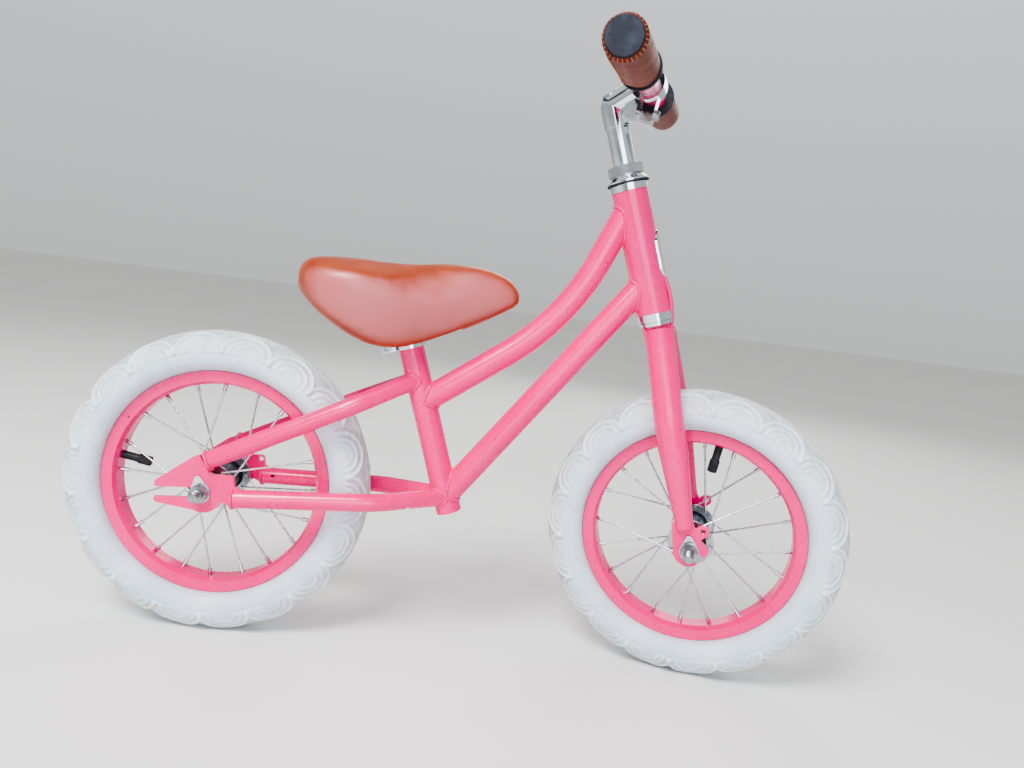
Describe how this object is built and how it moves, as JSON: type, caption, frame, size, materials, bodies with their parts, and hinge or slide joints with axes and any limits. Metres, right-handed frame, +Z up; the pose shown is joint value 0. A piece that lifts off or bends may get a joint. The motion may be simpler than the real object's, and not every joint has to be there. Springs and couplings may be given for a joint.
{
  "type": "balance bike",
  "caption": "Child's steel balance bike with spoked wheels, steered fork, height-adjustable saddle and quill stem with leather-look grips.",
  "frame": {"origin": "on the ground, in the frame's middle plane, halfway between the wheel axles with the steering straight", "axes": "+X forward, +Y to the rider's left, +Z up"},
  "size_m": [0.7831, 0.3522, 0.6227],
  "materials": {
    "paint": "gloss pink enamel",
    "bright": "polished chrome plate",
    "zinc": "zinc plated",
    "spoke": "drawn zinc-plated wire",
    "hub": "satin plated",
    "tyre": "pale grey-white rubber",
    "butyl": "matt black",
    "plastic": "matt dark slate",
    "grip": "stitched brown leather",
    "saddle": "smooth tan leather"
  },
  "bodies": {
    "frame": {"head_tube": "paint", "top_tube": "paint", "down_tube": "paint", "seat_tube": "paint", "chain_stay_left": "paint", "chain_stay_right": "paint", "seat_stay_left": "paint", "seat_stay_right": "paint", "rear_dropout_left": "paint", "rear_dropout_right": "paint", "head_badge": "bright", "seat_clamp": "bright", "seat_clamp_bolt": "zinc", "headset_upper_cup": "bright", "headset_lower_cup": "bright", "rear_axle": "zinc", "rear_cones": "zinc", "rear_tab_washers": "bright", "rear_axle_nuts": "zinc"},
    "rear_wheel": {"rear_tyre": "tyre", "rear_inner_tube": "butyl", "rear_rim": "paint", "rear_spokes": "spoke", "rear_hub_shell": "hub", "rear_hub_balls": "zinc"},
    "fork": {"fork_steerer": "paint", "fork_blade_left": "paint", "fork_blade_right": "paint", "fork_end_left": "paint", "fork_end_right": "paint", "crown_race": "bright", "headset_balls": "zinc", "headset_top_race": "bright", "headset_seal": "butyl", "headset_washer": "zinc", "headset_lock_nut": "bright", "front_axle": "zinc", "front_cones": "zinc", "front_tab_washers": "bright", "front_axle_nuts": "zinc"},
    "front_wheel": {"front_tyre": "tyre", "front_inner_tube": "butyl", "front_rim": "paint", "front_spokes": "spoke", "front_hub_shell": "hub", "front_hub_balls": "zinc"},
    "stem": {"stem": "bright", "stem_bolt": "zinc", "stem_wedge": "zinc", "bar_clamp_bolt": "zinc"},
    "handlebar": {"handlebar": "paint", "grip_left": "grip", "grip_right": "grip", "grip_rings": "plastic", "grip_plugs": "plastic"},
    "saddle": {"saddle_cover": "saddle", "saddle_base": "plastic", "saddle_bolts": "zinc", "seat_post": "bright"}
  },
  "joints": [
    {"name": "steer", "type": "hinge", "parent": "frame", "child": "fork", "pos_m": [0.14851, 0, 0.43579], "axis": [-0.3338, 0, 0.9426], "continuous": true},
    {"name": "rear_wheel_spin", "type": "hinge", "parent": "frame", "child": "rear_wheel", "pos_m": [-0.243, 0, 0.151], "axis": [0, 1, 0], "continuous": true},
    {"name": "front_wheel_spin", "type": "hinge", "parent": "fork", "child": "front_wheel", "pos_m": [0.24326, 0.00179, 0.15109], "axis": [0.2819, 0.9542, 0.0998], "continuous": true},
    {"name": "saddle_height", "type": "slide", "parent": "frame", "child": "saddle", "axis": [-0.3289, 0, 0.9444], "range_m": [0, 0.06]},
    {"name": "stem_height", "type": "slide", "parent": "fork", "child": "stem", "axis": [-0.3338, 0, 0.9426], "range_m": [-0.03, 0.015]},
    {"name": "bar_roll", "type": "hinge", "parent": "stem", "child": "handlebar", "pos_m": [0.13256, -0.01107, 0.58662], "axis": [0.2819, 0.9542, 0.0998], "range_deg": [-30, 30]}
  ]
}
